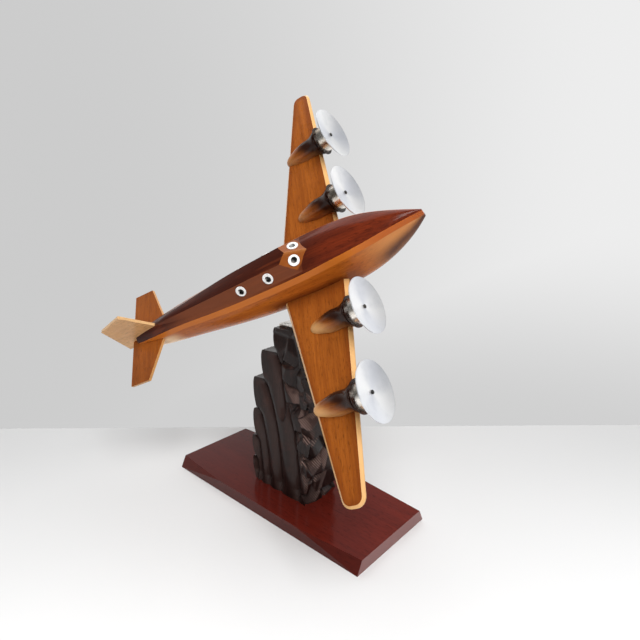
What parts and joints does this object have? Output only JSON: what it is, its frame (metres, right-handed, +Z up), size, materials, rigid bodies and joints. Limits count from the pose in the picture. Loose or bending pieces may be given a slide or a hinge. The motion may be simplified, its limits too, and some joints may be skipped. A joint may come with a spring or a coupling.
{
  "type": "desktop airliner model",
  "caption": "Carved wooden airliner in a banked climb on a rock-shaped stand, with spinning metal propeller discs on its engine nacelles and a bevelled base board.",
  "frame": {"origin": "centre of the base board's underside, on the surface that it stands on", "axes": "+Z up; +X along the base board, towards the end that the nose points to; -Y towards the side from which the deck of the banked aircraft is seen"},
  "size_m": [0.3412, 0.2011, 0.4085],
  "materials": {
    "base_mahogany": "glossy lacquered red mahogany",
    "rock_wood": "ebonised carved wood, satin",
    "screw_steel": "zinc plated",
    "mount_nickel": "nickel plated, slightly dulled",
    "hull_wood": "lacquered amber wood with dark sprayed edges",
    "deck_mahogany": "lacquered dark mahogany",
    "dowel_wood": "plain beech",
    "wing_wood": "lacquered amber wood",
    "nacelle_wood": "lacquered, black at the lip fading to amber",
    "collar_nickel": "nickel, mottled",
    "disc_aluminium": "satin spun",
    "pin_steel": "blackened",
    "tailplane_wood": "lacquered amber wood",
    "fin_wood": "lacquered pale wood",
    "eyelet_white": "white enamelled"
  },
  "bodies": {
    "root": {"base_board": "base_mahogany", "base_screws": "screw_steel", "collar_left_inner": "collar_nickel", "collar_left_outer": "collar_nickel", "collar_right_inner": "collar_nickel", "collar_right_outer": "collar_nickel", "disc_pin_left_inner": "pin_steel", "disc_pin_left_outer": "pin_steel", "disc_pin_right_inner": "pin_steel", "disc_pin_right_outer": "pin_steel", "fin": "fin_wood", "fuselage_deck": "deck_mahogany", "fuselage_hull": "hull_wood", "mounting_plate": "mount_nickel", "nacelle_dowel_left_inner": "dowel_wood", "nacelle_dowel_left_outer": "dowel_wood", "nacelle_dowel_right_inner": "dowel_wood", "nacelle_dowel_right_outer": "dowel_wood", "nacelle_left_inner": "nacelle_wood", "nacelle_left_outer": "nacelle_wood", "nacelle_right_inner": "nacelle_wood", "nacelle_right_outer": "nacelle_wood", "plate_screws": "screw_steel", "post_nut": "mount_nickel", "rock_stand": "rock_wood", "screen_eyelet_left": "eyelet_white", "screen_eyelet_right": "eyelet_white", "side_eyelet_left_front": "eyelet_white", "side_eyelet_left_rear": "eyelet_white", "side_eyelet_right_front": "eyelet_white", "side_eyelet_right_rear": "eyelet_white", "support_post": "mount_nickel", "tailplane": "tailplane_wood", "wing_dowels_left": "dowel_wood", "wing_dowels_right": "dowel_wood", "wing_left": "wing_wood", "wing_right": "wing_wood"},
    "disc_left_inner": {"propeller_disc_left_inner": "disc_aluminium"},
    "disc_left_outer": {"propeller_disc_left_outer": "disc_aluminium"},
    "disc_right_inner": {"propeller_disc_right_inner": "disc_aluminium"},
    "disc_right_outer": {"propeller_disc_right_outer": "disc_aluminium"}
  },
  "joints": [
    {"name": "disc_spin_left_inner", "type": "hinge", "parent": "root", "child": "disc_left_inner", "pos_m": [0.04717, 0.02985, 0.31041], "axis": [0.8553, 0.1848, 0.4841], "continuous": true},
    {"name": "disc_spin_left_outer", "type": "hinge", "parent": "root", "child": "disc_left_outer", "pos_m": [0.00706, 0.05565, 0.36364], "axis": [0.8553, 0.1848, 0.4841], "continuous": true},
    {"name": "disc_spin_right_inner", "type": "hinge", "parent": "root", "child": "disc_right_inner", "pos_m": [0.10708, -0.01796, 0.22281], "axis": [0.8553, 0.1848, 0.4841], "continuous": true},
    {"name": "disc_spin_right_outer", "type": "hinge", "parent": "root", "child": "disc_right_outer", "pos_m": [0.14038, -0.05072, 0.16873], "axis": [0.8553, 0.1848, 0.4841], "continuous": true}
  ]
}
